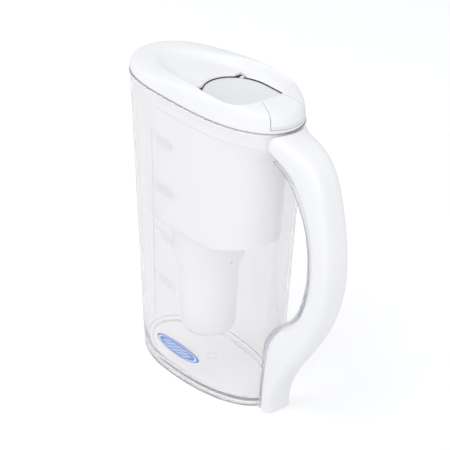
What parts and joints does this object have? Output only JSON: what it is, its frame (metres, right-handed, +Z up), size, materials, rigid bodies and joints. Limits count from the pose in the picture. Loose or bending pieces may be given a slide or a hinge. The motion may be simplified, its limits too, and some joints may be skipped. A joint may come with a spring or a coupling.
{
  "type": "water filter pitcher",
  "caption": "Tall oval clear jug with a hooped handle, hanging reservoir, filter cartridge, and a lid with a sunken flip-up filling hatch.",
  "frame": {"origin": "centre of the footprint's bounding box on the table, Z = 0 where the jug stands", "axes": "+Z up, +X from the spout towards the handle, +Y across the jug"},
  "size_m": [0.2439, 0.0858, 0.284],
  "materials": {
    "clear_plastic": "polished clear moulded plastic",
    "white_plastic": "semi-gloss white moulding",
    "hatch_plastic": "satin white moulding",
    "frosted_plastic": "translucent white moulding",
    "cartridge_plastic": "satin white moulding",
    "label_print": "printed film",
    "felt": "pressed fibre pad",
    "carbon": "packed granules",
    "resin": "packed beads",
    "mineral": "packed ceramic beads",
    "seal_rubber": "matt rubber",
    "pin_steel": "drawn wire"
  },
  "bodies": {
    "jug_body": {"jug": "clear_plastic", "label": "label_print", "handle_cover": "white_plastic", "handle_liner": "clear_plastic"},
    "reservoir_body": {"reservoir": "frosted_plastic"},
    "cartridge_body": {"cartridge_housing": "cartridge_plastic", "cartridge_base": "cartridge_plastic", "cartridge_cap": "cartridge_plastic", "cartridge_seal": "seal_rubber", "inlet_felt": "felt", "carbon_bed": "carbon", "upper_divider": "felt", "resin_bed": "resin", "lower_divider": "felt", "mineral_bed": "mineral", "outlet_felt": "felt"},
    "lid_body": {"lid_shell": "white_plastic", "flip_pin": "pin_steel"},
    "hatch_body": {"flip_lid": "hatch_plastic"}
  },
  "joints": [
    {"name": "reservoir_lift", "type": "slide", "parent": "jug_body", "child": "reservoir_body", "axis": [0, 0, 1], "range_m": [0, 0.24]},
    {"name": "cartridge_lift", "type": "slide", "parent": "reservoir_body", "child": "cartridge_body", "axis": [0, 0, 1], "range_m": [0, 0.24]},
    {"name": "lid_lift", "type": "slide", "parent": "cartridge_body", "child": "lid_body", "axis": [0, 0, 1], "range_m": [0, 0.06]},
    {"name": "hatch_hinge", "type": "hinge", "parent": "lid_body", "child": "hatch_body", "pos_m": [-0.02405, 0, 0.2703], "axis": [0, -1, 0], "range_deg": [0, 95]}
  ]
}
